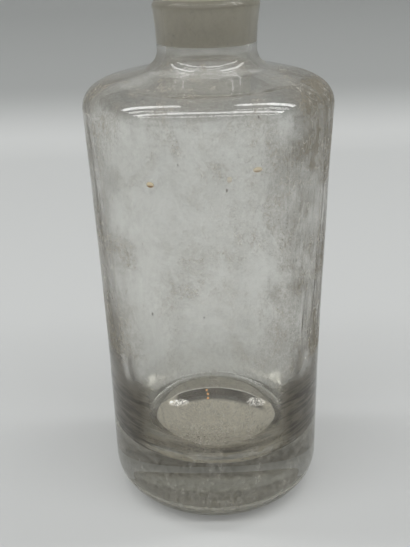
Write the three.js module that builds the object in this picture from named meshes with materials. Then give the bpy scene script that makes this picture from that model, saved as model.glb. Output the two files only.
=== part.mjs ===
// A plain glass spirit decanter: a heavy-based vessel with a round shoulder and a short ground neck,
// closed by a solid glass stopper whose tapered plug is ground to fit that neck.
// Millimetres, +Z up. The origin is on the axis, in the plane that the base stands on.
import * as THREE from "three";

// Vessel, outside
const FOOT_RADIUS = 44.1; // wall where it leaves the heel
const SHOULDER_RADIUS = 47.4; // wall where the shoulder starts
const SHOULDER_HEIGHT = 165.1; // height where the shoulder starts
const HEEL_ROUND = 14.5; // round between wall and base
const STANDING_RING = 7.5; // width of the flat ring that the vessel stands on
const KICK_DEPTH = 1.2; // depth of the shallow hollow inside that ring
const EDGE_ROUND = 9.15; // tight round at the edge of the shoulder
const EDGE_TURN = 58.6; // degrees that the surface has turned from upright where that round ends
const CROWN_ROUND = 22.8; // wider round above it
const SHOULDER_SLOPE = 14.1; // degrees, fall of the straight stretch from the neck outwards
const ROOT_ROUND = 6.55; // hollow round where the shoulder turns up into the neck
const NECK_RADIUS = 18.56; // neck at its root
const NECK_LENGTH = 15.2; // from the root to where the lip rounds over
const LIP_FLARE = 1.15; // growth of the neck's radius up to the lip
const LIP_ROUND = 2.2; // round over the lip

// Vessel, inside
const WALL = 3.3; // thickness of wall, shoulder and neck
const BASE_THICKNESS = 26; // solid glass under the floor, at the floor's edge
const FLOOR_CROWN = 0.5; // rise of the floor towards its middle
const FLOOR_ROUND = 5; // round between the floor and the thickening wall
const SWEEP_ROUND = 50; // round by which the inner wall bends in towards the floor
const SWEEP_TOP = 48.3; // height where that round starts
const SWELL_ROUND = 1100; // very long round by which the wall thickens downwards
const SWELL_TOP = 120; // height where the wall starts to thicken

// Ground joint between the neck and the plug
const CLEAR_NECK = 2; // clear bore between the neck's root and the ground zone
const TAPER = 0.1; // growth of diameter for each unit of height
const RIM_EASE = 0.6; // round at the mouth of the bore
const SEAT_GAP = 0.25; // space between plug and bore, all round
const PLUG_INSET = 0.3; // height of the plug's end above the ground zone's lower edge

// Stopper
const PLUG_END_ROUND = 0.8; // round at the plug's lower end
const PLUG_PROUD = 1.6; // height of the plug's top above the rim
const PLUG_TOP_ROUND = 1; // round at the plug's upper end
const WAIST_RADIUS = 10.5; // narrowest place, between plug and head
const WAIST_ROUND = 3; // hollow round from the plug's top up to the waist
const HEAD_FILLET = 4; // hollow round from the waist out to the head
const HEAD_RADIUS = 21; // ball head

// Facets
const AROUND = 48;
const ARC_STEPS = 6;
const LONG_STEPS = 8;
const BALL_STEPS = 14;
const SAME_POINT = 1e-6;

const { degToRad, radToDeg } = THREE.MathUtils;
const cosine = (degrees) => Math.cos(degToRad(degrees));
const sine = (degrees) => Math.sin(degToRad(degrees));
const point = (radius, height) => new THREE.Vector2(radius, height);

// Points of a round stretch about a centre, from one angle to another: 0 points outwards, 90 up.
function arc(centre, from, to, steps, radius) {
  const clockwise = to < from;
  return new THREE.EllipseCurve(
    centre.x, centre.y, radius, radius, degToRad(from), degToRad(to), clockwise,
  ).getPoints(steps);
}

// Points between two heights, with the radius as a function of the height.
function rise(from, to, steps, radiusAt) {
  return Array.from({ length: steps + 1 }, (_, i) => {
    const height = from + ((to - from) * i) / steps;
    return point(radiusAt(height), height);
  });
}

// Points between two radii, with the height as a function of the radius.
function spread(from, to, steps, heightAt) {
  return Array.from({ length: steps + 1 }, (_, i) => {
    const radius = from + ((to - from) * i) / steps;
    return point(radius, heightAt(radius));
  });
}

// One profile from its stretches, with each shared end point kept once.
function chain(...stretches) {
  const isNew = (p, i, all) => i === 0 || p.distanceTo(all[i - 1]) > SAME_POINT;
  return stretches.flat().filter(isNew);
}

// A solid turned about the Z axis from a profile that starts and ends on it.
function turned(name, profile, material) {
  const geometry = new THREE.LatheGeometry(profile, AROUND).rotateX(Math.PI / 2);
  const mesh = new THREE.Mesh(geometry, material);
  mesh.name = name;
  return mesh;
}

// The wall stands upright on the heel and flares with the square of the height above it.
const wallRise = SHOULDER_HEIGHT - HEEL_ROUND;
const wallFlare = SHOULDER_RADIUS - FOOT_RADIUS;
const wallRadius = (height) => FOOT_RADIUS + wallFlare * ((height - HEEL_ROUND) / wallRise) ** 2;
const wallLean = radToDeg(Math.atan((2 * wallFlare) / wallRise));

// Centres of the shoulder's rounds, each tangent to the next, and the neck's root that they lead to.
const straightTurn = 90 - SHOULDER_SLOPE;
const edgeCentre = point(
  SHOULDER_RADIUS - EDGE_ROUND * cosine(wallLean),
  SHOULDER_HEIGHT + EDGE_ROUND * sine(wallLean),
);
const crownCentre = point(
  edgeCentre.x + (EDGE_ROUND - CROWN_ROUND) * cosine(EDGE_TURN),
  edgeCentre.y + (EDGE_ROUND - CROWN_ROUND) * sine(EDGE_TURN),
);
const straightStart = point(
  crownCentre.x + CROWN_ROUND * cosine(straightTurn),
  crownCentre.y + CROWN_ROUND * sine(straightTurn),
);
const rootRadius = NECK_RADIUS + ROOT_ROUND;
const straightWidth = straightStart.x - (rootRadius - ROOT_ROUND * cosine(straightTurn));
const straightRise = (straightWidth * cosine(straightTurn)) / sine(straightTurn);
const rootCentre = point(
  rootRadius,
  straightStart.y + straightRise + ROOT_ROUND * sine(straightTurn),
);

// The shoulder from the wall up to the neck's root, on a surface that lies inset into the glass.
function shoulder(inset) {
  return chain(
    arc(edgeCentre, -wallLean, EDGE_TURN, ARC_STEPS, EDGE_ROUND - inset),
    arc(crownCentre, EDGE_TURN, straightTurn, ARC_STEPS / 2, CROWN_ROUND - inset),
    arc(rootCentre, 180 + straightTurn, 180, ARC_STEPS, ROOT_ROUND + inset),
  );
}

// The neck flares with the square of the height above its root, and the lip rounds over from there.
const neckRoot = rootCentre.y;
const lipHeight = neckRoot + NECK_LENGTH;
const lipRadius = NECK_RADIUS + LIP_FLARE;
const lipLean = radToDeg(Math.atan((2 * LIP_FLARE) / NECK_LENGTH));
const neckRadius = (height) => NECK_RADIUS + LIP_FLARE * ((height - neckRoot) / NECK_LENGTH) ** 2;
const lipCentre = point(
  lipRadius - LIP_ROUND * cosine(lipLean),
  lipHeight + LIP_ROUND * sine(lipLean),
);
const rim = lipCentre.y + LIP_ROUND;

// The bore is clear above the root, then ground to a taper that widens up to the rim.
const clearBore = NECK_RADIUS - WALL;
const groundStart = neckRoot + CLEAR_NECK;
const boreRadius = (height) => clearBore + (TAPER / 2) * (height - groundStart);

function vessel(material) {
  const ringOuter = FOOT_RADIUS - HEEL_ROUND;
  const kickRadius = ringOuter - STANDING_RING;
  const innerWall = (height) => wallRadius(height) - WALL;
  const swellLean = radToDeg(Math.atan((2 * wallFlare * (SWELL_TOP - HEEL_ROUND)) / wallRise ** 2));
  const swellCentre = point(
    innerWall(SWELL_TOP) - SWELL_ROUND * cosine(swellLean),
    SWELL_TOP + SWELL_ROUND * sine(swellLean),
  );
  const sweepLean = radToDeg(Math.asin((swellCentre.y - SWEEP_TOP) / SWELL_ROUND));
  const sweepCentre = point(
    swellCentre.x + (SWELL_ROUND - SWEEP_ROUND) * cosine(sweepLean),
    swellCentre.y - (SWELL_ROUND - SWEEP_ROUND) * sine(sweepLean),
  );
  const roundReach = SWEEP_ROUND - FLOOR_ROUND;
  const roundFall = sweepCentre.y - BASE_THICKNESS - FLOOR_ROUND;
  const sweepEnd = radToDeg(Math.asin(roundFall / roundReach));
  const floorRadius = sweepCentre.x + roundReach * cosine(sweepEnd);
  const roundCentre = point(floorRadius, BASE_THICKNESS + FLOOR_ROUND);
  const floorHeight = (radius) =>
    BASE_THICKNESS + FLOOR_CROWN * (1 - (radius / floorRadius) ** 2) ** 2;
  const easeCentre = point(boreRadius(rim) + RIM_EASE, rim - RIM_EASE);

  const outside = chain(
    spread(0, kickRadius, ARC_STEPS / 2, (r) => KICK_DEPTH * (1 - (r / kickRadius) ** 2)),
    arc(point(ringOuter, HEEL_ROUND), -90, 0, LONG_STEPS, HEEL_ROUND),
    rise(HEEL_ROUND, SHOULDER_HEIGHT, LONG_STEPS, wallRadius),
    shoulder(0),
    rise(neckRoot, lipHeight, ARC_STEPS, neckRadius),
    arc(lipCentre, -lipLean, 90, ARC_STEPS, LIP_ROUND),
  );
  const inside = chain(
    spread(0, floorRadius, ARC_STEPS, floorHeight),
    arc(roundCentre, -90, -sweepEnd, ARC_STEPS, FLOOR_ROUND),
    arc(sweepCentre, -sweepEnd, -sweepLean, ARC_STEPS, SWEEP_ROUND),
    arc(swellCentre, -sweepLean, -swellLean, LONG_STEPS, SWELL_ROUND),
    rise(SWELL_TOP, SHOULDER_HEIGHT, ARC_STEPS / 2, innerWall),
    shoulder(WALL),
    [point(clearBore, groundStart)],
    arc(easeCentre, 180, 90, ARC_STEPS / 2, RIM_EASE),
  );
  return turned("decanter_body", chain(outside, inside.reverse()), material);
}

function stopper(material) {
  const seat = groundStart + PLUG_INSET;
  const plugTop = rim + PLUG_PROUD - seat;
  const plugRadius = (height) => boreRadius(seat + height) - SEAT_GAP;
  const endRound = point(plugRadius(0) - PLUG_END_ROUND, PLUG_END_ROUND);
  const topRound = point(plugRadius(plugTop) - PLUG_TOP_ROUND, plugTop - PLUG_TOP_ROUND);
  const waistCentre = point(WAIST_RADIUS + WAIST_ROUND, plugTop + WAIST_ROUND);
  const filletCentre = point(WAIST_RADIUS + HEAD_FILLET, waistCentre.y);
  const filletToBall = HEAD_RADIUS + HEAD_FILLET;
  const ballRise = Math.sqrt(filletToBall ** 2 - filletCentre.x ** 2);
  const ballCentre = point(0, filletCentre.y + ballRise);
  const ballStart = radToDeg(Math.atan2(-ballRise, filletCentre.x));

  const profile = chain(
    [point(0, 0)],
    arc(endRound, -90, 0, ARC_STEPS / 2, PLUG_END_ROUND),
    arc(topRound, 0, 90, ARC_STEPS / 2, PLUG_TOP_ROUND),
    arc(waistCentre, 270, 180, ARC_STEPS, WAIST_ROUND),
    arc(filletCentre, 180, 180 + ballStart, ARC_STEPS, HEAD_FILLET),
    arc(ballCentre, ballStart, 90, BALL_STEPS, HEAD_RADIUS),
  );
  const mesh = turned("ground_stopper", profile, material);
  mesh.position.z = seat;
  return mesh;
}

const vesselGlass = new THREE.MeshStandardMaterial({
  color: 0xd4d6cf,
  roughness: 0.08,
  metalness: 0,
  transparent: true,
  opacity: 0.35,
});
const stopperGlass = new THREE.MeshStandardMaterial({
  color: 0xd0d0c6,
  roughness: 0.15,
  metalness: 0,
  transparent: true,
  opacity: 0.45,
});

const decanter = new THREE.Group();
decanter.add(vessel(vesselGlass), stopper(stopperGlass));

export default decanter;
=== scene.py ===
"""A glass spirit decanter with its ground stopper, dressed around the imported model."""

import math
from functools import reduce

import bpy
import numpy as np
from bpy.props import FloatProperty, FloatVectorProperty, IntProperty, PointerProperty
from mathutils import Matrix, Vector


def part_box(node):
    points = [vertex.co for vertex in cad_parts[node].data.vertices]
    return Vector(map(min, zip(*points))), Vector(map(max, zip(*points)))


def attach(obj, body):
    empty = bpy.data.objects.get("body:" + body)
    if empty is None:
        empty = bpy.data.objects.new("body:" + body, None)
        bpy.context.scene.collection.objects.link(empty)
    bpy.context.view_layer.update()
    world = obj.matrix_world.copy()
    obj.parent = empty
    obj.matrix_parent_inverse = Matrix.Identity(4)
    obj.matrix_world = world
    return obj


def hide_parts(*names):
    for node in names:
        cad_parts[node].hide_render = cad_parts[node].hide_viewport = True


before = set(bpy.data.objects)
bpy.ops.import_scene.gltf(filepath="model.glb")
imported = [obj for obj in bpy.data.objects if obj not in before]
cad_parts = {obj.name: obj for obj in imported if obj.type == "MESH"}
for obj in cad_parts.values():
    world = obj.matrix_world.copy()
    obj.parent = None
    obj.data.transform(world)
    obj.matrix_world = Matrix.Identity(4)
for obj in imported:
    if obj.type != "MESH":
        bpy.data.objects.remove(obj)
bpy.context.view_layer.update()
VESSEL_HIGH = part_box("decanter_body")[1]

bl_info = {
    "name": "Glass Decanter",
    "version": (1, 0, 0),
    "blender": (4, 5, 0),
    "location": "View3D > Sidebar > Decanter",
    "description": "Models an aged glass decanter, its ground stopper and a plain studio",
    "category": "Add Mesh",
}

# The photograph's long side in pixels, and the camera's sensor in millimetres
PHOTO_LONG_SIDE = 547
SENSOR = 36.0

# Longest stretch of a profile between two rings of points, in metres
VESSEL_STEP = 0.0022
STOPPER_STEP = 0.0012

# Seeds of the glass's unevenness
OUTER_SEED = 11
INNER_SEED = 23
STOPPER_SEED = 37

# Where that unevenness grows, in metres, away from the axis and above the table,
# and the length over which it fades towards the neck or the plug
VESSEL_CALM = (0.004, 0.03)
FOOT_CALM = (0.002, 0.02)
STOPPER_CALM = (0.002, 0.012)
CALM_LENGTH = 0.012

# Ceiling strips: name, places across and along the room, and length, in metres
STRIPS = (
    ("front_strip", 0.0, -0.84, 5.8),
    ("left_strip", -1.38, 0.18, 2.04),
    ("right_strip", 1.38, 0.18, 2.04),
)


def length(name, default, description):
    """A length in metres that a user would change."""
    return FloatProperty(name=name, default=default, description=description, unit="LENGTH", precision=5)


def angle(name, degrees, description):
    """An angle that a user would change, given here in degrees."""
    return FloatProperty(
        name=name, default=math.radians(degrees), description=description, subtype="ANGLE"
    )


def amount(name, default, description):
    """A plain number that a user would change."""
    return FloatProperty(name=name, default=default, description=description, precision=4)


def colour(name, default, description):
    """A linear colour that a user would change."""
    return FloatVectorProperty(
        name=name, default=default, description=description, subtype="COLOR", min=0, max=1
    )


class DecanterVessel(bpy.types.PropertyGroup):
    """Sizes of the blown vessel."""

    foot_radius: length("Foot radius", 0.0441, "Wall where it leaves the heel")
    shoulder_height: length("Shoulder height", 0.1651, "Height where the shoulder starts")
    heel_round: length("Heel round", 0.0145, "Round between wall and base")
    standing_ring: length("Standing ring", 0.0075, "Width of the flat ring under the base")
    kick_depth: length("Kick depth", 0.0012, "Depth of the hollow inside that ring")
    edge_round: length("Edge round", 0.00915, "Tight round at the edge of the shoulder")
    edge_turn: angle("Edge turn", 58.6, "Turn of the surface where the tight round ends")
    crown_round: length("Crown round", 0.0228, "Wider round above the tight one")
    shoulder_slope: angle("Shoulder slope", 14.1, "Fall of the straight stretch outwards")
    root_round: length("Root round", 0.00655, "Hollow round at the neck's root")
    neck_radius: length("Neck radius", 0.01856, "Neck at its root")
    neck_length: length("Neck length", 0.0152, "From the root to where the lip rounds over")
    lip_flare: length("Lip flare", 0.00115, "Growth of the neck's radius up to the lip")
    lip_round: length("Lip round", 0.0022, "Round over the lip")
    wall: length("Wall", 0.0033, "Thickness of wall, shoulder and neck")
    base_thickness: length("Base thickness", 0.026, "Solid glass under the floor")
    floor_crown: length("Floor crown", 0.0005, "Rise of the floor towards its middle")
    floor_round: length("Floor round", 0.005, "Round between the floor and the thickening wall")
    sweep_round: length("Sweep round", 0.05, "Round by which the wall bends in towards the floor")
    sweep_top: length("Sweep top", 0.0483, "Height where that round starts")
    swell_round: length("Swell round", 1.1, "Very long round by which the wall thickens downwards")
    swell_top: length("Swell top", 0.120, "Height where the wall starts to thicken")
    clear_neck: length("Clear neck", 0.002, "Clear bore below the ground zone")
    taper: amount("Taper", 0.1, "Growth of the bore's diameter for each unit of height")
    rim_ease: length("Rim ease", 0.0006, "Round at the mouth of the bore")
    outer_ripple: length("Outer ripple", 0.00012, "Unevenness of the outer surface")
    inner_ripple: length("Inner ripple", 0.00045, "Unevenness of the inner surface")
    around: IntProperty(name="Around", default=192, min=24, description="Steps around the axis")


class DecanterStopper(bpy.types.PropertyGroup):
    """Sizes of the ground stopper."""

    seat_gap: length("Seat gap", 0.00025, "Space between plug and bore")
    plug_inset: length("Plug inset", 0.0003, "Plug's end above the ground zone's lower edge")
    end_round: length("End round", 0.0008, "Round at the plug's lower end")
    plug_proud: length("Plug proud", 0.0016, "Height of the plug's top above the rim")
    top_round: length("Top round", 0.001, "Round at the plug's upper end")
    waist_radius: length("Waist radius", 0.0105, "Narrowest place, between plug and head")
    waist_round: length("Waist round", 0.003, "Hollow round up to the waist")
    head_fillet: length("Head fillet", 0.004, "Hollow round from the waist to the head")
    head_radius: length("Head radius", 0.021, "Ball head")
    ripple: length("Ripple", 0.00008, "Unevenness of the polished head")
    around: IntProperty(name="Around", default=144, min=24, description="Steps around the axis")


class DecanterFinish(bpy.types.PropertyGroup):
    """Colours and strengths of the glass and of what age has left on it."""

    glass: colour("Glass", (0.985, 0.985, 0.972), "Tint of a glass surface")
    depth: colour("Depth", (0.735, 0.730, 0.675), "Tint of light that has crossed thick glass")
    density: amount("Density", 28.0, "How fast thick glass takes on its tint, per metre")
    haze: colour("Haze", (0.35, 0.325, 0.275), "Dull film on the walls")
    # Also the pale colour of the painted highlight round the heel
    dust_and_heel_highlight: colour("Dust", (0.80, 0.78, 0.72), "Scratches and dust")
    residue: colour("Residue", (0.95, 0.90, 0.77), "Dried liquor on the floor")
    sheer: amount("Sheer", 0.5, "Share of the light that the palest film lets through")
    # Painted highlights: how brightly the floor's ring line, glints, residue and beads glow
    painted_glow_strength: amount("Salt glow", 2.6, "How brightly dried salts catch the lamps")
    silt: colour("Silt", (0.60, 0.55, 0.43), "Beige dregs above the floor's edge")
    # Also the dark film painted as shade on the standing ring and the back of the heel
    grime_and_shade: colour("Grime", (0.20, 0.18, 0.14), "Brown dirt on the sides")
    crust: colour("Crust", (0.06, 0.044, 0.024), "Older liquor round the floor")
    # Painted highlight: pale colour of the floor's ring line and glints
    tide_highlight: colour("Tide", (0.86, 0.85, 0.81), "Dry ring at the floor's edge")
    drop: colour("Drop", (0.86, 0.72, 0.47), "Dried drops")
    bead: colour("Bead", (0.80, 0.38, 0.10), "Small orange beads on the floor")
    stain: colour("Stain", (0.20, 0.09, 0.015), "Lower edges of the dried drops")
    # Also the dark colour painted as shade into the floor's crescent
    speck_and_shade: colour("Speck", (0.07, 0.05, 0.035), "Dark specks")
    ground: colour("Ground", (0.53, 0.51, 0.435), "Ground glass of neck and plug")


class DecanterStage(bpy.types.PropertyGroup):
    """Camera, floor and lamps."""

    distance: length("Distance", 0.31178, "Camera in front of the axis")
    height: length("Height", 0.22681, "Camera above the floor")
    pitch: angle("Pitch", 22.883, "Camera's tilt down")
    roll: angle("Roll", 1.505, "Camera's turn about its own axis")
    yaw: angle("Yaw", -0.526, "Camera's turn to the right")
    focal_pixels: amount("Focal length", 821.0, "Focal length in pixels of the photograph")
    paper: colour("Paper", (0.405, 0.413, 0.409), "Floor")
    # Darker colour painted as shade where the paper stands upright
    backdrop: colour("Backdrop", (0.232, 0.239, 0.2355), "Paper where it stands upright")
    paper_glow: amount("Paper glow", 0.30, "Light that shines through the paper from below and behind")
    sweep_start: length("Sweep start", 0.55, "Where the paper starts to rise, behind the axis")
    sweep_round: length("Sweep round", 0.14, "Round of the paper")
    strip_height: length("Strip height", 1.76, "Ceiling strips above the floor")
    strip_width: length("Strip width", 0.27, "Narrow side of each strip")
    strip_glow: amount("Strip glow", 8.2, "Brightness of the strips")
    room_light: amount("Room light", 0.12, "Dim light from all round")
    ceiling_light: amount("Ceiling light", 0.12, "Added from overhead")
    wall_light: amount("Wall light", 0.6, "Added from the pale wall behind the camera")
    seen_light: amount("Seen light", 0.40, "Room beyond the paper, as the camera sees it")


class DecanterSettings(bpy.types.PropertyGroup):
    """All that a user would change."""

    vessel: PointerProperty(type=DecanterVessel)
    stopper: PointerProperty(type=DecanterStopper)
    finish: PointerProperty(type=DecanterFinish)
    stage: PointerProperty(type=DecanterStage)


# Profiles: arrays of radius and height, in metres


def arc(centre, start, end, steps, radius):
    """Points at centre + radius (cos a, sin a) for angles a from start to end, in radians."""
    a = np.linspace(start, end, steps + 1)
    return np.column_stack((centre[0] + radius * np.cos(a), centre[1] + radius * np.sin(a)))


def chain(*stretches, same=1e-8):
    """One profile from its stretches, with each shared end point kept once."""
    points = np.vstack(stretches)
    gap = np.hypot(*np.diff(points, axis=0).T)
    return points[np.concatenate(([True], gap > same))]


def refined(points, step):
    """The profile with every stretch longer than step cut into equal parts, on straight lines."""
    gap = np.hypot(*np.diff(points, axis=0).T)
    parts = np.maximum(1, np.ceil(gap / step)).astype(int)
    place = np.concatenate([i + np.arange(n) / n for i, n in enumerate(parts)] + [[len(parts)]])
    index = np.arange(len(points))
    return np.column_stack([np.interp(place, index, points[:, k]) for k in (0, 1)])


class VesselShape:
    """The vessel's profile, worked out from its settings: the same rounds and flares as the solid."""

    def __init__(self, s):
        self.s = s
        self.shoulder_radius = VESSEL_HIGH.x
        self.wall_rise = s.shoulder_height - s.heel_round
        self.wall_flare = self.shoulder_radius - s.foot_radius
        self.lean = math.atan(2 * self.wall_flare / self.wall_rise)
        self.straight = math.pi / 2 - s.shoulder_slope
        self.edge = np.array((
            self.shoulder_radius - s.edge_round * math.cos(self.lean),
            s.shoulder_height + s.edge_round * math.sin(self.lean),
        ))
        turn = np.array((math.cos(s.edge_turn), math.sin(s.edge_turn)))
        self.crown = self.edge + (s.edge_round - s.crown_round) * turn
        rise = np.array((math.cos(self.straight), math.sin(self.straight)))
        start = self.crown + s.crown_round * rise
        root_radius = s.neck_radius + s.root_round
        width = start[0] - (root_radius - s.root_round * rise[0])
        self.root = np.array((root_radius, start[1] + width * rise[0] / rise[1] + s.root_round * rise[1]))
        self.lip_lean = math.atan(2 * s.lip_flare / s.neck_length)
        lip_height = self.root[1] + s.neck_length
        self.lip = np.array((
            s.neck_radius + s.lip_flare - s.lip_round * math.cos(self.lip_lean),
            lip_height + s.lip_round * math.sin(self.lip_lean),
        ))
        self.rim = self.lip[1] + s.lip_round
        self.bore = s.neck_radius - s.wall
        self.ground_start = self.root[1] + s.clear_neck
        self.swell_lean = math.atan(2 * self.wall_flare * (s.swell_top - s.heel_round) / self.wall_rise**2)
        self.swell = np.array((
            self.wall_radius(s.swell_top) - s.wall - s.swell_round * math.cos(self.swell_lean),
            s.swell_top + s.swell_round * math.sin(self.swell_lean),
        ))
        self.sweep_lean = math.asin((self.swell[1] - s.sweep_top) / s.swell_round)
        lean = np.array((math.cos(self.sweep_lean), -math.sin(self.sweep_lean)))
        self.sweep = self.swell + (s.swell_round - s.sweep_round) * lean
        reach = s.sweep_round - s.floor_round
        self.sweep_end = math.asin((self.sweep[1] - s.base_thickness - s.floor_round) / reach)
        self.floor_radius = self.sweep[0] + reach * math.cos(self.sweep_end)

    def wall_radius(self, z):
        """Foot radius plus the flare times the square of the share of the wall's height."""
        return self.s.foot_radius + self.wall_flare * ((z - self.s.heel_round) / self.wall_rise) ** 2

    def bore_radius(self, z):
        """The clear bore plus half the taper for each unit of height above the ground zone's start."""
        return self.bore + self.s.taper / 2 * (z - self.ground_start)

    def shoulder(self, inset):
        """The shoulder's three rounds on a surface that lies inset into the glass."""
        s = self.s
        return chain(
            arc(self.edge, -self.lean, s.edge_turn, 28, s.edge_round - inset),
            arc(self.crown, s.edge_turn, self.straight, 12, s.crown_round - inset),
            arc(self.root, math.pi + self.straight, math.pi, 24, s.root_round + inset),
        )

    def outside(self):
        """From the middle of the base out to the heel and up over the lip."""
        s = self.s
        ring = s.foot_radius - s.heel_round
        kick = ring - s.standing_ring
        r = np.linspace(0, kick, 24)
        z = np.linspace(s.heel_round, s.shoulder_height, 70)
        n = np.linspace(self.root[1], self.root[1] + s.neck_length, 16)
        flare = s.lip_flare * ((n - self.root[1]) / s.neck_length) ** 2
        return chain(
            np.column_stack((r, s.kick_depth * (1 - (r / kick) ** 2))),
            arc((ring, s.heel_round), -math.pi / 2, 0, 32, s.heel_round),
            np.column_stack((self.wall_radius(z), z)),
            self.shoulder(0),
            np.column_stack((s.neck_radius + flare, n)),
            arc(self.lip, -self.lip_lean, math.pi / 2, 14, s.lip_round),
        )

    def inside(self):
        """From the middle of the floor out to the wall and up through the ground bore to the rim."""
        s = self.s
        corner = (self.floor_radius, s.base_thickness + s.floor_round)
        r = np.linspace(0, self.floor_radius, 30)
        dome = s.floor_crown * (1 - (r / self.floor_radius) ** 2) ** 2
        z = np.linspace(s.swell_top, s.shoulder_height, 24)
        ease = (self.bore_radius(self.rim) + s.rim_ease, self.rim - s.rim_ease)
        return chain(
            np.column_stack((r, s.base_thickness + dome)),
            arc(corner, -math.pi / 2, -self.sweep_end, 16, s.floor_round),
            arc(self.sweep, -self.sweep_end, -self.sweep_lean, 24, s.sweep_round),
            arc(self.swell, -self.sweep_lean, -self.swell_lean, 40, s.swell_round),
            np.column_stack((self.wall_radius(z) - s.wall, z)),
            self.shoulder(s.wall),
            [(self.bore, self.ground_start)],
            arc(ease, math.pi, math.pi / 2, 6, s.rim_ease),
        )


def stopper_profile(s, vessel):
    """From the middle of the plug's end up its taper, round the waist and over the ball head."""
    seat = vessel.ground_start + s.plug_inset
    top = vessel.rim + s.plug_proud
    end = (vessel.bore_radius(seat) - s.seat_gap - s.end_round, seat + s.end_round)
    edge = (vessel.bore_radius(top) - s.seat_gap - s.top_round, top - s.top_round)
    waist = (s.waist_radius + s.waist_round, top + s.waist_round)
    fillet = (s.waist_radius + s.head_fillet, waist[1])
    rise = math.sqrt((s.head_radius + s.head_fillet) ** 2 - fillet[0] ** 2)
    ball = math.atan2(-rise, fillet[0])
    return chain(
        [(0, seat)],
        arc(end, -math.pi / 2, 0, 8, s.end_round),
        arc(edge, 0, math.pi / 2, 8, s.top_round),
        arc(waist, 1.5 * math.pi, math.pi, 14, s.waist_round),
        arc(fillet, math.pi, math.pi + ball, 12, s.head_fillet),
        arc((0, fillet[1] + rise), ball, math.pi / 2, 90, s.head_radius),
    )


# Surfaces


def ripple(turn, height, strength, seed, waves=14, most=9, tallest=90.0):
    """A smooth uneven field: a sum of cosines of whole turns and of height, weaker the finer they are."""
    draw = np.random.default_rng(seed)
    m = draw.integers(1, most + 1, waves)[:, None, None]
    q = draw.uniform(-tallest, tallest, waves)[:, None, None]
    p = draw.uniform(0, 2 * np.pi, waves)[:, None, None]
    size = 1 / (1 + 0.35 * m)
    field = (size * np.cos(m * turn[None, None, :] + q * height[None, :, None] + p)).sum(0)
    return strength * field / math.sqrt(waves / 2)


def turned(name, profile, push, around, attributes=()):
    """A closed surface: the profile's points (r, z), pushed along its normal by an array over profile
    and turn, become (r cos t, r sin t, z) for turns t, with one point at each end on the axis."""
    turn = np.linspace(0, 2 * np.pi, around, endpoint=False)
    tangent = np.gradient(profile, axis=0)
    normal = np.column_stack((tangent[:, 1], -tangent[:, 0]))
    normal /= np.linalg.norm(normal, axis=1)[:, None]
    r = profile[1:-1, :1] + push[1:-1] * normal[1:-1, :1]
    z = profile[1:-1, 1:] + push[1:-1] * normal[1:-1, 1:]
    grid = np.stack((r * np.cos(turn), r * np.sin(turn), z), axis=-1).reshape(-1, 3)
    ends = np.array(((0, 0, profile[0, 1]), (0, 0, profile[-1, 1])))
    rings = len(profile) - 2
    index = np.arange(rings * around).reshape(rings, around)
    after = np.roll(index, -1, axis=1)
    quads = np.stack((index[:-1], after[:-1], after[1:], index[1:]), axis=-1).reshape(-1, 4)
    first = rings * around
    low = np.column_stack((np.full(around, first), after[0], index[0]))
    high = np.column_stack((index[-1], after[-1], np.full(around, first + 1)))
    mesh = bpy.data.meshes.new(name)
    mesh.from_pydata(np.vstack((grid, ends)), [], quads.tolist() + low.tolist() + high.tolist())
    mesh.polygons.foreach_set("use_smooth", np.ones(len(mesh.polygons), bool))
    for label, values in attributes:
        spread = np.repeat(values[1:-1], around)
        layer = mesh.attributes.new(label, "FLOAT", "POINT")
        layer.data.foreach_set("value", np.concatenate((spread, values[[0, -1]])).astype(np.float32))
    mesh.update()
    return place(name, mesh)


def place(name, mesh):
    """An object at the origin that holds the mesh."""
    piece = bpy.data.objects.new(name, mesh)
    bpy.context.scene.collection.objects.link(piece)
    return piece


def smoothstep(low, high, x):
    """0 on the far side of low, 1 on the far side of high, and a smooth cubic between them."""
    t = np.clip((x - low) / (high - low), 0, 1)
    return t * t * (3 - 2 * t)


# Materials


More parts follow.
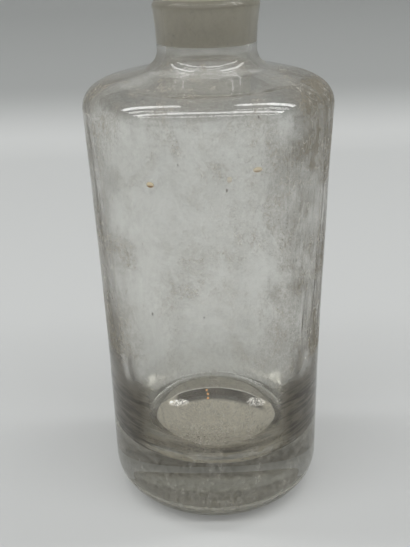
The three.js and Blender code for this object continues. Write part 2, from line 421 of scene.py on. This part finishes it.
class Shade:
    """A socket of a material's nodes. Arithmetic on shades adds Math nodes."""

    def __init__(self, tree, socket=None):
        self.tree = tree
        self.socket = socket

    def node(self, kind, settings=None, sockets=None, out=0):
        """Adds a node, sets its settings, then its sockets' values or links, and gives one output."""
        made = self.tree.nodes.new(kind)
        for key, value in (settings or {}).items():
            setattr(made, key, value)
        for key, value in (sockets or {}).items():
            if isinstance(value, Shade):
                self.tree.links.new(value.socket, made.inputs[key])
            else:
                made.inputs[key].default_value = value
        return Shade(self.tree, made.outputs[out])

    def math(self, operation, *values):
        """A Math node on the values, in order."""
        return self.node("ShaderNodeMath", {"operation": operation}, dict(enumerate(values)))

    def __add__(self, other):
        return self.math("ADD", self, other)

    __radd__ = __add__

    def __sub__(self, other):
        return self.math("SUBTRACT", self, other)

    def __rsub__(self, other):
        return self.math("SUBTRACT", other, self)

    def __mul__(self, other):
        return self.math("MULTIPLY", self, other)

    __rmul__ = __mul__

    def __truediv__(self, other):
        return self.math("DIVIDE", self, other)

    def __pow__(self, other):
        return self.math("POWER", self, other)

    def step(self, low, high):
        """0 below low and 1 above high, smooth between; with low above high it falls instead."""
        sockets = {"Value": self, "From Min": low, "From Max": high}
        return self.node("ShaderNodeMapRange", {"interpolation_type": "SMOOTHSTEP"}, sockets)

    def band(self, low, high, soft):
        """1 between low and high, falling to 0 over soft on each side."""
        return self.step(low - soft, low) * self.step(high + soft, high)

    def most(self, other):
        """The larger of two values."""
        return self.math("MAXIMUM", self, other)

    def least(self, other):
        """The smaller of two values."""
        return self.math("MINIMUM", self, other)

    def noise(self, at, scale, detail=4.0, rough=0.55, distortion=0.0):
        """Cloudy noise from 0 to 1 at a place."""
        sockets = {
            "Vector": at, "Scale": scale, "Detail": detail,
            "Roughness": rough, "Distortion": distortion,
        }
        return self.node("ShaderNodeTexNoise", {}, sockets)

    def stretched(self, at, scale, turn=(0, 0, 0)):
        """A place scaled along its axes, then turned."""
        return self.node("ShaderNodeMapping", {}, {"Vector": at, "Rotation": turn, "Scale": scale})

    def tint(self, factor, first, second):
        """A colour between two colours."""
        settings = {"data_type": "RGBA"}
        return self.node("ShaderNodeMix", settings, {0: factor, 6: first, 7: second}, out=2)

    def parts(self, vector):
        """The three numbers of a vector."""
        split = self.node("ShaderNodeSeparateXYZ", {}, {0: vector})
        outputs = split.socket.node.outputs
        return [Shade(self.tree, outputs[i]) for i in range(3)]


def opaque(colour_value):
    """A colour with full alpha."""
    return (*colour_value, 1.0)


def new_material(name):
    """An empty node material, with a shade to build on, its place and the output node."""
    material = bpy.data.materials.new(name)
    material.use_nodes = True
    tree = material.node_tree
    tree.nodes.clear()
    shade = Shade(tree)
    at = shade.node("ShaderNodeTexCoord", out="Object")
    end = tree.nodes.new("ShaderNodeOutputMaterial")
    return material, shade, at, end


def aged_glass(shade, finish, cover, film, rough, normal, end, painted_glow=None, gloss=0.0):
    """Clear glass under a film: cover is the film's share, film its colour, rough the glass's roughness.

    The film lets a share of the light through, the more the paler it is. Painted glow is where the film
    glows as painted highlights of the lamps, and gloss where the glass was polished by the fire.
    """
    lit = {}
    if painted_glow is not None:
        glow = shade.tint(painted_glow, opaque((0, 0, 0)), film)
        lit = {"Emission Color": glow, "Emission Strength": finish.painted_glow_strength}
    glass = shade.node("ShaderNodeBsdfPrincipled", {}, {
        "Base Color": opaque(finish.glass), "Roughness": rough, "IOR": 1.5,
        "Transmission Weight": 1.0, "Normal": normal, "Coat Weight": gloss,
    })
    matt = shade.node("ShaderNodeBsdfPrincipled", {}, {
        "Base Color": film, "Roughness": 0.75, "IOR": 1.4, "Normal": normal,
        "Specular IOR Level": 0.2, **lit,
    })
    through = shade.node("ShaderNodeBsdfTranslucent", {}, {
        "Color": opaque(finish.residue), "Normal": normal,
    })
    pale = shade.node("ShaderNodeRGBToBW", {}, {"Color": film})
    dry = shade.node("ShaderNodeMixShader", {}, {0: finish.sheer * pale, 1: matt, 2: through})
    whole = shade.node("ShaderNodeMixShader", {}, {0: cover, 1: glass, 2: dry})
    body = shade.node("ShaderNodeVolumeAbsorption", {}, {
        "Color": opaque(finish.depth), "Density": finish.density,
    })
    shade.tree.links.new(whole.socket, end.inputs["Surface"])
    shade.tree.links.new(body.socket, end.inputs["Volume"])


def scratches(shade, at, scale, width, turn):
    """Thin wandering lines: where a slow noise crosses its middle value, broken up by a second noise."""
    field = shade.stretched(at, (1, 1, 0.55), turn=turn)
    line = shade.math("ABSOLUTE", shade.noise(field, scale, detail=1.0) - 0.5)
    breaks = shade.noise(at, scale * 0.45, detail=2.0).step(0.5, 0.62)
    return line.step(width, 0.0) * breaks


def specks(shade, at, scale, size, share):
    """Small dots: cells of a random pattern, kept for a share of the cells, dark near their centres."""
    cells = shade.node("ShaderNodeTexVoronoi", {}, {"Vector": at, "Scale": scale})
    kind = Shade(shade.tree, cells.socket.node.outputs["Color"])
    chance = shade.parts(kind)[0]
    return cells.step(size, size * 0.4) * chance.step(1 - share, 1 - share * 0.8)


def oval(across, up, centre, half):
    """1 inside an ellipse and 0 outside it, from its centre's two places and its two half widths."""
    far = ((across - centre[0]) / half[0]) ** 2.0 + ((up - centre[1]) / half[1]) ** 2.0
    return far.step(1.3, 0.6)


def largest(shades):
    """The largest of several values."""
    return reduce(Shade.most, shades)


# Where the vessel's marks lie, in metres. A pair holds the ends of a soft edge, from none to full.
# A third number makes it a band: its low and high end, and how far it fades beyond them.

# Across, with the right positive
RIGHT_SIDE = (0.020, 0.043)
LEFT_SIDE = (-0.028, -0.047)
FLANKS = (0.020, 0.028)

# From front to back, with the back positive
FRONT = (0.0, -0.02)
FRONT_HALF = (0.02, -0.02)
NEAR_WALL = (0.010, -0.012)
BACK = (0.012, 0.028)

# Heights above the table
STANDING_RING = (0.0026, 0.0010)
BASE_FOOT = (0.003, 0.009)
BASE_TOP = (0.040, 0.030)
BACK_HEEL = (0.0105, 0.0075)
# A pale line round the heel: painted highlight
HEEL_LINE = (0.0097, 0.0108, 0.0006)
WIPED_FLANKS = (0.036, 0.064, 0.006)
RIDGED_WALL = (0.055, 0.090)
BELOW_SHOULDER = (0.172, 0.150)
SHOULDER_FILM = (0.172, 0.186, 0.005)
FIRE_POLISH = (0.163, 0.178, 0.003)
SEEDED_WALL = (0.182, 0.176)
CLEAR_NECK = (0.170, 0.182)
NECK_ROOT = (0.182, 0.187)
LIP = (0.2005, 0.2020)

# Heights above the floor
WALL_START = (0.002, 0.012)
FLOOR_LEVEL = (0.003, 0.002)
RING_HIGHLIGHT_LEVEL = (0.004, 0.003)
FLOOR_CORNER = (0.0034, 0.0024)
DREGS_TOP = (0.024, 0.006)
FLANK_DREGS_TOP = (0.042, 0.025)
SEAM = (0.0086, 0.0100, 0.0009)
FLAKED = (-0.002, 0.013, 0.003)

# From the axis, under the base
HOLLOW = (0.024, 0.028)

# On the floor: its soft edge, two ovals about places in front of the axis, and the crescent between them,
# painted dark as shade
FLOOR_FADE = 0.0002
TIDE_CENTRE = 0.0116
POOL_CENTRE = 0.023
OVAL_SQUASH = 0.84
TIDE_WOBBLE = 0.0006
# The ring line along the oval's edge is a painted highlight
RING_HIGHLIGHT_LINE = (0.0303, 0.0307, 0.0002)
RING_HIGHLIGHT_FRONT = (-0.016, -0.010)
RING_HIGHLIGHT_ENDS = (0.016, 0.024)
BEYOND_TIDE = (0.0303, 0.0308)
CRESCENT_FRONT = (0.0310, 0.0340)
CRESCENT_BACK = (0.0306, 0.0300)
CRESCENT_LEFT = (-0.021, -0.015)
CRESCENT_RIGHT = (0.025, 0.019)
CORNER_MIDDLE = (0.024, 0.010)

# Painted glints on the floor, bright spots that stand in for lamp reflections: centre and half widths
GLINTS = (
    ((-0.0172, 0.0078), (0.0058, 0.0028)),
    ((0.0196, 0.0085), (0.0046, 0.0034)),
)

# Beads on the floor: centres, and the half widths of each
BEADS = ((-0.0028, 0.0168), (-0.0023, 0.0136), (-0.0023, 0.0104))
BEAD_HALF = (0.0005, 0.0009)

# Dried drops on the front: centre across and up, half widths and darkness;
# below its centre each one fades to a darker lower edge
DROP_EDGE = (0.0001, 0.0005)
DROPS = (
    ((-0.0204, 0.1462), (0.0014, 0.0011), 1.0),
    ((0.0066, 0.1486), (0.0010, 0.0012), 0.35),
    ((0.0162, 0.1512), (0.0017, 0.0010), 0.8),
)

# Roughness of polished glass, what grinding adds to it, and its fade in metres where it starts
POLISHED = 0.004
GROUND = 0.35
GROUND_FADE = 0.0001


class VesselMarks:
    """How strongly each mark of making, use and age shows, at every place of the vessel's surface."""

    def __init__(self, shade, at, shape):
        self.shade = shade
        self.at = at
        self.x, self.y, self.z = shade.parts(at)
        self.above_floor = self.z - shape.s.base_thickness
        self.away = shade.math("ABSOLUTE", self.x)
        self.radial = shade.math("SQRT", self.x * self.x + self.y * self.y)
        self.inside = shade.node("ShaderNodeAttribute", {"attribute_name": "inside"}, out="Fac")
        self.outside = 1 - self.inside
        self.add_textures()
        self.add_zones(shape)
        self.add_film()
        self.add_wear_and_highlight()
        self.add_floor_marks()
        self.add_dregs()
        self.add_spots()

    def add_textures(self):
        """Noises of several sizes, from wide clouds to grains."""
        shade, at = self.shade, self.at
        self.cloud = shade.noise(at, 34.0, detail=5.0, rough=0.6, distortion=0.7).step(0.36, 0.64)
        leaning = shade.stretched(at, (1, 1, 0.6), turn=(0.4, 0.7, 0.2))
        self.patch = shade.noise(leaning, 70.0, detail=7.0, rough=0.64, distortion=1.0).step(0.45, 0.55)
        self.fine = shade.noise(at, 480.0, detail=5.0, rough=0.7)
        self.grain = shade.noise(at, 1300.0, detail=3.0, rough=0.8)

    def add_zones(self, shape):
        """The parts of the vessel that age in their own way."""
        x, y, z = self.x, self.y, self.z
        self.front = y.step(*FRONT)
        self.near = y.step(*NEAR_WALL)
        self.flank = self.away.step(*FLANKS)
        sides = 2.0 * x.step(*RIGHT_SIDE) + 0.95 * x.step(*LEFT_SIDE)
        self.side = sides * (0.75 + 0.25 * z.step(*BELOW_SHOULDER))
        self.walls = self.above_floor.step(*WALL_START)
        self.base = z.step(*BASE_TOP) * z.step(*BASE_FOOT)
        # The standing ring and the back of the heel get a dark film: painted shade under and behind the
        # base
        standing = z.step(*STANDING_RING) * (0.25 + 0.75 * self.radial.step(*HOLLOW))
        self.foot = standing.most(0.85 * z.step(*BACK_HEEL) * y.step(*BACK))
        disc = self.radial.step(shape.floor_radius + FLOOR_FADE, shape.floor_radius)
        self.floor = self.inside * self.above_floor.step(*FLOOR_LEVEL) * disc
        self.neck = self.inside * z.step(*CLEAR_NECK)
        start = shape.ground_start
        self.bore = self.inside * z.step(start - GROUND_FADE, start + GROUND_FADE)

    def add_film(self):
        """The dull film outside, in clouds, wiped patches and upright streaks, and a thin one inside."""
        shade, cloud, z = self.shade, self.cloud, self.z
        facing = 0.35 + 0.65 * self.y.step(*FRONT_HALF)
        speckle = 0.2 + 0.8 * self.fine.step(0.38, 0.62) + 0.8 * self.grain.step(0.38, 0.62)
        dirt = (0.02 + 0.22 * self.patch * (0.25 + 0.75 * cloud) + 0.13 * cloud) * speckle * facing
        dirt = dirt * (1 - 0.8 * z.step(*NECK_ROOT)) + 0.22 * self.side * (0.3 + cloud)
        dirt = dirt + z.band(*SHOULDER_FILM) * (0.02 + 0.05 * cloud)
        upright = shade.stretched(self.at, (1, 1, 0.14), turn=(0.2, 0.15, 0))
        streak = shade.noise(upright, 300.0, detail=3.0).step(0.5, 0.7)
        dirt = dirt + (0.03 + 0.26 * self.side) * streak * self.grain.step(0.4, 0.6)
        dirt = dirt * (1 - 0.8 * self.flank * z.band(*WIPED_FLANKS))
        # The foot's dark film is painted shade
        film = dirt * (1 - self.base) + 0.05 * self.base + 0.2 * z.step(*LIP) + 0.85 * self.foot
        self.outer_film = self.outside * film
        self.inner_film = self.inside * self.walls * (0.02 + 0.03 * cloud) + 0.20 * self.neck

    def add_wear_and_highlight(self):
        """Scratches on the walls, a dulled base, and a pale line round the heel that is a painted
        highlight.
        """
        shade, at = self.shade, self.at
        wander = scratches(shade, at, 260.0, 0.012, (0.5, 0.2, 0.0))
        across = scratches(shade, at, 420.0, 0.016, (-0.9, 0.4, 0.6))
        scratched = wander.most(across) * (0.05 + 0.13 * self.cloud + 0.22 * self.side) * self.walls
        hatch = shade.noise(shade.stretched(at, (1, 1, 0.3)), 620.0, detail=4.0, rough=0.7)
        dulled = 0.02 + 0.12 * hatch.step(0.38, 0.62) * (0.4 + 0.6 * self.patch)
        dulled = dulled + 0.15 * self.fine.step(0.38, 0.64)
        # Painted highlight: a pale line round the heel
        heel_highlight = 0.22 * self.z.band(*HEEL_LINE)
        self.wear_and_highlight = self.outside * (scratched + self.base * dulled + heel_highlight)

    def from_oval(self, centre):
        """The distance from a place in front of the axis, squashed across and a little uneven."""
        along = self.y + centre
        square = OVAL_SQUASH * self.x * self.x + along * along
        return self.shade.math("SQRT", square) + TIDE_WOBBLE * (self.fine - 0.5)

    def add_floor_marks(self):
        """What lies on the floor: dried residue, a crescent behind it bare of residue and painted dark as
        shade, a pale ring line and glints that are painted highlights, and beads.
        """
        x, y = self.x, self.y
        rim = self.from_oval(TIDE_CENTRE)
        crescent = self.from_oval(POOL_CENTRE).step(*CRESCENT_FRONT) * rim.step(*CRESCENT_BACK)
        self.bare_and_shaded = crescent * x.step(*CRESCENT_LEFT) * x.step(*CRESCENT_RIGHT)
        residue = self.floor * (1 - self.bare_and_shaded) * (0.82 + 0.18 * self.grain)
        self.residue = residue * (1 - 0.45 * rim.step(*BEYOND_TIDE))
        tide_highlight = self.inside * rim.band(*RING_HIGHLIGHT_LINE) * self.above_floor.step(*RING_HIGHLIGHT_LEVEL)
        self.tide_highlight = tide_highlight * y.step(*RING_HIGHLIGHT_FRONT) * (1 - 0.8 * self.away.step(*RING_HIGHLIGHT_ENDS))
        # Painted glints: bright spots on the floor in place of lamp reflections
        painted_glints = largest([oval(x, y, centre, half) for centre, half in GLINTS])
        self.painted_glints = painted_glints * self.floor * self.grain.step(0.50, 0.54)
        self.beads = largest([oval(x, y, centre, BEAD_HALF) for centre in BEADS]) * self.floor

    def add_dregs(self):
        """Older liquor on the wall round the floor: beige dregs, brown rings in them and a dark seam."""
        shade, up = self.shade, self.above_floor
        beside = self.inside * (1 - self.floor)
        self.dregs = beside * up.step(*DREGS_TOP).most(self.flank * up.step(*FLANK_DREGS_TOP))
        corner = beside * up.step(*FLOOR_CORNER)
        around = shade.stretched(self.at, (0.12, 0.12, 1))
        rings = shade.noise(around, 700.0, detail=3.0, rough=0.6).step(0.35, 0.65)
        broad = shade.noise(around, 420.0, detail=3.0, rough=0.6).step(0.42, 0.62)
        brown = broad.most(self.flank * (0.78 + 0.22 * rings))
        self.brown = brown * (1 - corner * self.away.step(*CORNER_MIDDLE))
        self.seam = self.inside * up.band(*SEAM) * self.near * (0.5 + 0.5 * self.grain.step(0.4, 0.6))
        crust = self.dregs * (0.30 + 0.50 * rings + 0.80 * self.flank) * (0.05 + 0.95 * self.near)
        crust = crust + (0.5 + 0.3 * self.grain) * corner * self.near
        self.crust = crust + 0.35 * self.seam

    def add_spots(self):
        """Dried drops with darker lower edges, flakes round the floor and seeds in the walls."""
        shade, at, z = self.shade, self.at, self.z
        drops = []
        pooled = []
        for centre, half, dark in DROPS:
            spot = oval(self.x, z, centre, half) * self.front * self.outside
            drops.append(spot * (0.3 + 0.7 * dark))
            below = z.step(centre[1] - DROP_EDGE[0], centre[1] - DROP_EDGE[1])
            pooled.append(spot * below * dark)
        self.drops = largest(drops)
        self.pooled = largest(pooled)
        flakes = specks(shade, at, 420.0, 0.36, 0.25).most(specks(shade, at, 900.0, 0.36, 0.35))
        self.flakes = flakes * (self.dregs + self.floor) * self.above_floor.band(*FLAKED) * self.front
        seeds = specks(shade, shade.stretched(at, (1, 1, 0.45)), 105.0, 0.05, 0.9)
        self.seeds = seeds * self.walls * z.step(*SEEDED_WALL)

    def cover(self):
        """The share of the glass that is covered by anything at all."""
        cover = self.outer_film + self.wear_and_highlight + self.inner_film + self.residue + self.crust
        # Half cover of dark film in the floor's crescent: painted shade
        cover = cover + 0.5 * self.floor * self.bare_and_shaded
        return largest([
            cover,
            (0.78 + 0.2 * self.fine) * self.bore,
            self.tide_highlight.most(self.painted_glints) * 0.85,
            self.flakes * 0.8,
            self.drops.most(self.beads) * 0.9,
            self.seeds * 0.75,
        ]).least(1.0)

    def film(self, finish):
        """The colour of what covers the glass: from wide films to small spots, each over the last."""
        shade = self.shade
        # Dust colour where scratches and wear lie, and where the heel's highlight is painted
        dust_and_highlight_share = (self.wear_and_highlight * 5.0).least(1.0 - 0.3 * self.base)
        grime_and_foot_shade = (self.side * (1 - self.base)).most(self.foot)
        film = shade.tint(dust_and_highlight_share, opaque(finish.haze), opaque(finish.dust_and_heel_highlight))
        for share, layer in (
            # Brown grime on the sides, and on the foot a dark film painted as shade
            (self.outside * grime_and_foot_shade * (1 - self.wear_and_highlight * 4.0), opaque(finish.grime_and_shade)),
            (self.dregs, shade.tint(self.brown.most(self.seam), opaque(finish.silt), opaque(finish.crust))),
            # Floor residue, and a dark colour painted as shade in the crescent
            (self.floor, shade.tint(self.bare_and_shaded, opaque(finish.residue), opaque(finish.speck_and_shade))),
            # Painted highlights: the pale ring line and the glints
            (self.tide_highlight.most(self.painted_glints), opaque(finish.tide_highlight)),
            (self.beads, opaque(finish.bead)),
            (self.bore, opaque(finish.ground)),
            (self.flakes.most(self.seeds), opaque(finish.speck_and_shade)),
            (self.drops, shade.tint(self.pooled, opaque(finish.drop), opaque(finish.stain))),
        ):
            film = shade.tint(share, film, layer)
        return film

    def rough(self):
        """The roughness of the glass itself: polished, duller in the neck and ground in the bore."""
        return POLISHED + GROUND * self.bore + 0.10 * self.neck * (1 - self.bore)

    def painted_glow(self):
        """Painted highlights: how strongly the ring line, glints, floor residue and beads glow, as if they
        caught the lamps.
        """
        return largest([0.32 * self.tide_highlight, self.painted_glints, 0.085 * self.residue, 0.4 * self.beads])

    def gloss(self):
        """Where the shoulder was polished by the fire."""
        return 0.5 * self.outside * self.z.band(*FIRE_POLISH)

    def relief(self):
        """Upright ridges inside the walls, fine unevenness and grain where the glints are painted."""
        ridges = self.shade.noise(self.shade.stretched(self.at, (1, 1, 0.12)), 190.0, detail=2.0)
        ridged = self.inside * self.z.step(*RIDGED_WALL) * (0.12 + 1.5 * self.side) * ridges
        return ridged + 0.016 * self.fine + self.painted_glints * self.grain


def vessel_material(finish, shape):
    """Clear glass with a dull film, streaks, scratches, residue, brown drops and a ground bore."""
    material, shade, at, end = new_material("aged_vessel_glass")
    marks = VesselMarks(shade, at, shape)
    relief = {"Strength": 1.0, "Distance": 0.0002, "Height": marks.relief()}
    bump = shade.node("ShaderNodeBump", {}, relief)
    film = marks.film(finish)
    aged_glass(shade, finish, marks.cover(), film, marks.rough(), bump, end, marks.painted_glow(), marks.gloss())
    return material


# Fade of the grinding below the plug's top, in metres
PLUG_FADE = (0.0004, 0.0009)


def stopper_material(finish, top):
    """Clear glass with a finely ground plug: dull, beige and lined around by the grinding."""
    material, shade, at, end = new_material("ground_stopper_glass")
    z = shade.parts(at)[2]
    plug = z.step(top - PLUG_FADE[0], top - PLUG_FADE[1])
    rings = shade.noise(shade.stretched(at, (0.06, 0.06, 1)), 2600.0, detail=2.0)
    fine = shade.noise(at, 700.0, detail=4.0, rough=0.65)
    cloud = shade.noise(at, 80.0, detail=4.0, rough=0.6).step(0.42, 0.68)
    cover = plug * (0.80 + 0.15 * fine) + (1 - plug) * (0.02 + 0.05 * cloud)
    film = shade.tint(plug, opaque(finish.haze), opaque(finish.ground))
    rough = POLISHED + GROUND * plug
    height = plug * (rings + fine) + (1 - plug) * fine * 0.2
    bump = shade.node("ShaderNodeBump", {}, {"Strength": 0.08, "Distance": 0.0004, "Height": height})
    aged_glass(shade, finish, cover, film, rough, bump, end)
    return material


# Where the paper is painted darker, as shade of the light falling off, in metres: as it rises, and far
# behind the axis
PAPER_RISE = (0.0, 0.06)
PAPER_FAR = (0.15, 0.5)


def paper_material(stage):
    """Pale matt paper, painted darker where it rises and far behind, as shade of the light falling off."""
    material, shade, at, end = new_material("pale_paper")
    y, z = shade.parts(at)[1:]
    painted_falloff = z.step(*PAPER_RISE).most(0.08 * y.step(*PAPER_FAR))
    base = shade.tint(painted_falloff, opaque(stage.paper), opaque(stage.backdrop))
    paper = shade.node("ShaderNodeBsdfPrincipled", {}, {
        "Base Color": base, "Roughness": 0.9, "Emission Color": base, "Emission Strength": stage.paper_glow,
    })
    shade.tree.links.new(paper.socket, end.inputs["Surface"])
    return material


# Operators


class DECANTER_OT_vessel(bpy.types.Operator):
    """Blow the vessel: a closed glass shell with a heavy base, a round shoulder and a ground neck"""

    bl_idname = "decanter.vessel"
    bl_label = "Blow Vessel"

    def execute(self, context):
        settings = context.scene.decanter
        s = settings.vessel
        shape = VesselShape(s)
        out = refined(shape.outside(), VESSEL_STEP)
        ins = refined(shape.inside(), VESSEL_STEP)[::-1]
        profile = np.vstack((out, ins))
        within = np.concatenate((np.zeros(len(out)), np.ones(len(ins))))
        turn = np.linspace(0, 2 * np.pi, s.around, endpoint=False)
        r, z = profile.T
        neck = shape.root[1]
        free = smoothstep(*VESSEL_CALM, r) * smoothstep(neck, neck - CALM_LENGTH, z)
        outer_free = free * smoothstep(*FOOT_CALM, z)
        outer = ripple(turn, z, s.outer_ripple, OUTER_SEED) * outer_free[:, None]
        inner = ripple(turn, z, s.inner_ripple, INNER_SEED, most=12) * free[:, None]
        push = np.where(within[:, None] > 0.5, inner, outer)
        piece = turned("vessel_glass", profile, push, s.around, [("inside", within)])
        piece.data.materials.append(vessel_material(settings.finish, shape))
        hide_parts("decanter_body")
        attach(piece, "vessel")
        return {"FINISHED"}


class DECANTER_OT_stopper(bpy.types.Operator):
    """Grind the stopper: a solid glass ball on a waist, with a tapered plug that fits the neck"""

    bl_idname = "decanter.stopper"
    bl_label = "Grind Stopper"

    def execute(self, context):
        settings = context.scene.decanter
        s = settings.stopper
        shape = VesselShape(settings.vessel)
        top = shape.rim + s.plug_proud
        profile = refined(stopper_profile(s, shape), STOPPER_STEP)
        turn = np.linspace(0, 2 * np.pi, s.around, endpoint=False)
        r, z = profile.T
        free = smoothstep(*STOPPER_CALM, r) * smoothstep(top, top + CALM_LENGTH, z)
        push = ripple(turn, z, s.ripple, STOPPER_SEED, most=5) * free[:, None]
        piece = turned("stopper_glass", profile, push, s.around)
        piece.data.materials.append(stopper_material(settings.finish, top))
        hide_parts("ground_stopper")
        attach(piece, "stopper")
        return {"FINISHED"}


class DECANTER_OT_stage(bpy.types.Operator):
    """Set the camera, the paper sweep, the lamps and the soft surrounding light"""

    bl_idname = "decanter.stage"
    bl_label = "Set Stage"

    def execute(self, context):
        stage = context.scene.decanter.stage
        set_camera(context.scene, stage)
        paper_sweep(stage)
        for name, across, along, long in STRIPS:
            strip_lamp(name, (across, along, stage.strip_height), long, stage)
        surrounding_light(context.scene, stage)
        set_light_paths(context.scene)
        return {"FINISHED"}


def set_camera(scene, stage):
    """A camera in front of the axis: its forward way comes from yaw and pitch, then it rolls."""
    forward = np.array((
        math.sin(stage.yaw) * math.cos(stage.pitch),
        math.cos(stage.yaw) * math.cos(stage.pitch),
        -math.sin(stage.pitch),
    ))
    right = np.array((math.cos(stage.yaw), -math.sin(stage.yaw), 0.0))
    down = np.cross(forward, right)
    image_x = math.cos(stage.roll) * right + math.sin(stage.roll) * down
    image_y = -math.sin(stage.roll) * right + math.cos(stage.roll) * down
    camera = bpy.data.objects.new("camera", bpy.data.cameras.new("camera"))
    scene.collection.objects.link(camera)
    turn = Matrix(np.column_stack((image_x, -image_y, -forward)).tolist())
    camera.matrix_world = Matrix.Translation((0, -stage.distance, stage.height)) @ turn.to_4x4()
    camera.data.sensor_width = SENSOR
    camera.data.lens = SENSOR * stage.focal_pixels / PHOTO_LONG_SIDE
    camera.data.clip_start = 0.01
    scene.camera = camera


def paper_sweep(stage, half_width=3.0, near=-3.0, top=0.6):
    """A profile carried along X: a flat floor, a quarter round and an upright backdrop."""
    quarter = arc((stage.sweep_start, stage.sweep_round), -math.pi / 2, 0, 40, stage.sweep_round)
    back = stage.sweep_start + stage.sweep_round
    line = chain([(near, 0.0)], quarter, [(back, top)])
    x = np.linspace(-half_width, half_width, 9)
    grid = np.stack(np.broadcast_arrays(x[:, None], line[None, :, 0], line[None, :, 1]), axis=-1)
    index = np.arange(grid.shape[0] * grid.shape[1]).reshape(grid.shape[:2])
    faces = np.stack((index[:-1, :-1], index[1:, :-1], index[1:, 1:], index[:-1, 1:]), axis=-1)
    mesh = bpy.data.meshes.new("paper_sweep")
    mesh.from_pydata(grid.reshape(-1, 3), [], faces.reshape(-1, 4).tolist())
    mesh.polygons.foreach_set("use_smooth", np.ones(len(mesh.polygons), bool))
    mesh.materials.append(paper_material(stage))
    place("paper_sweep", mesh)


def strip_lamp(name, at, long, stage):
    """A long narrow lamp along X that faces down, of even glow: its power is pi times glow times area."""
    data = bpy.data.lights.new(name, "AREA")
    data.shape = "RECTANGLE"
    data.size = long
    data.size_y = stage.strip_width
    data.energy = math.pi * stage.strip_glow * long * stage.strip_width
    lamp = bpy.data.objects.new(name, data)
    lamp.location = at
    lamp.visible_camera = False
    bpy.context.scene.collection.objects.link(lamp)


def surrounding_light(scene, stage):
    """Dim light from all round, as in a room that only its ceiling strips light."""
    world = bpy.data.worlds.new("surroundings")
    world.use_nodes = True
    tree = world.node_tree
    tree.nodes.clear()
    shade = Shade(tree)
    way = shade.node("ShaderNodeTexCoord", out="Generated")
    y, z = shade.parts(way)[1:]
    overhead = z.step(0.55, 0.95)
    wall = y.step(-0.05, -0.5) * z.step(0.1, 0.3) * z.step(0.9, 0.7)
    light = stage.room_light + stage.ceiling_light * overhead + stage.wall_light * wall
    seen = shade.node("ShaderNodeLightPath", out="Is Camera Ray")
    level = light * (1 - seen) + stage.seen_light * seen
    glow = shade.node("ShaderNodeBackground", {}, {"Color": (1, 1, 0.99, 1), "Strength": level})
    end = tree.nodes.new("ShaderNodeOutputWorld")
    tree.links.new(glow.socket, end.inputs["Surface"])
    scene.world = world


def set_light_paths(scene):
    """Plain colours, and enough bounces for light to cross vessel and stopper."""
    scene.view_settings.view_transform = "Standard"
    scene.cycles.max_bounces = 32
    scene.cycles.transmission_bounces = 28
    scene.cycles.glossy_bounces = 16
    scene.cycles.transparent_max_bounces = 32


class DECANTER_PT_panel(bpy.types.Panel):
    """Lists the decanter's settings and the operators that make it"""

    bl_idname = "DECANTER_PT_panel"
    bl_label = "Decanter"
    bl_space_type = "VIEW_3D"
    bl_region_type = "UI"
    bl_category = "Decanter"

    def draw(self, context):
        settings = context.scene.decanter
        for operator in OPERATORS:
            self.layout.operator(operator.bl_idname)
        for group in ("vessel", "stopper", "finish", "stage"):
            values = getattr(settings, group)
            box = self.layout.box()
            box.label(text=group.capitalize())
            for key in values.__annotations__:
                box.prop(values, key)


OPERATORS = (DECANTER_OT_vessel, DECANTER_OT_stopper, DECANTER_OT_stage)
GROUPS = (DecanterVessel, DecanterStopper, DecanterFinish, DecanterStage, DecanterSettings)
CLASSES = (*GROUPS, *OPERATORS, DECANTER_PT_panel)


def register():
    for each in CLASSES:
        bpy.utils.register_class(each)
    bpy.types.Scene.decanter = PointerProperty(type=DecanterSettings)


def unregister():
    del bpy.types.Scene.decanter
    for each in reversed(CLASSES):
        bpy.utils.unregister_class(each)


def main():
    """Registers the classes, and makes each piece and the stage."""
    register()
    bpy.ops.decanter.vessel()
    bpy.ops.decanter.stopper()
    bpy.ops.decanter.stage()


if __name__ == "__main__":
    main()
